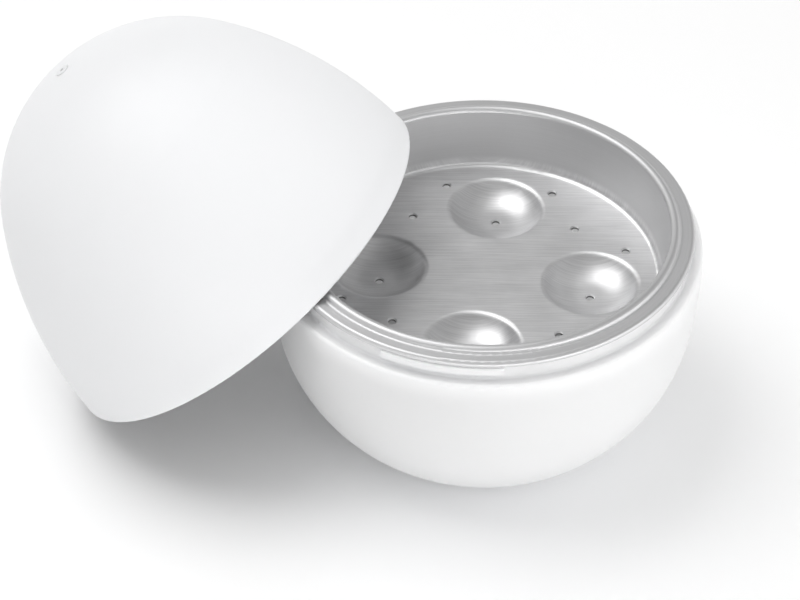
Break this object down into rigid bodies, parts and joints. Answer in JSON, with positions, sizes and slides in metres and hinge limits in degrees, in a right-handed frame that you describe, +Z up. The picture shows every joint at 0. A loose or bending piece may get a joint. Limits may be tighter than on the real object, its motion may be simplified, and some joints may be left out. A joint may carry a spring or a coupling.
{
  "type": "egg cooker",
  "caption": "Egg-shaped microwave egg cooker: white bowl for water, pressed aluminium tray with egg cups and steam holes, and a white domed lid with a metal liner, leaning open.",
  "frame": {"origin": "centre of the bowl's flat foot, on the surface that it stands on", "axes": "+Z up along the bowl's axis; the open lid stands on the -X side, and the XZ plane is the plane of symmetry of bowl and lid"},
  "size_m": [0.2232, 0.136, 0.1246],
  "materials": {
    "white_plastic": "smooth satin gloss",
    "tray_metal": "spun and pressed, bright bead",
    "liner_metal": "spun satin",
    "vent_plastic": "satin"
  },
  "bodies": {
    "base": {"base_bowl": "white_plastic"},
    "tray": {"egg_tray": "tray_metal"},
    "lid": {"lid_shell": "white_plastic", "lid_liner": "liner_metal", "lid_vent": "vent_plastic"}
  },
  "joints": [
    {"name": "tray_lift", "type": "slide", "parent": "base", "child": "tray", "axis": [0, 0, 1], "range_m": [0, 0.05]},
    {"name": "lid_lift", "type": "slide", "parent": "tray", "child": "lid", "axis": [0, 0, 1], "range_m": [0, 0.1]}
  ]
}
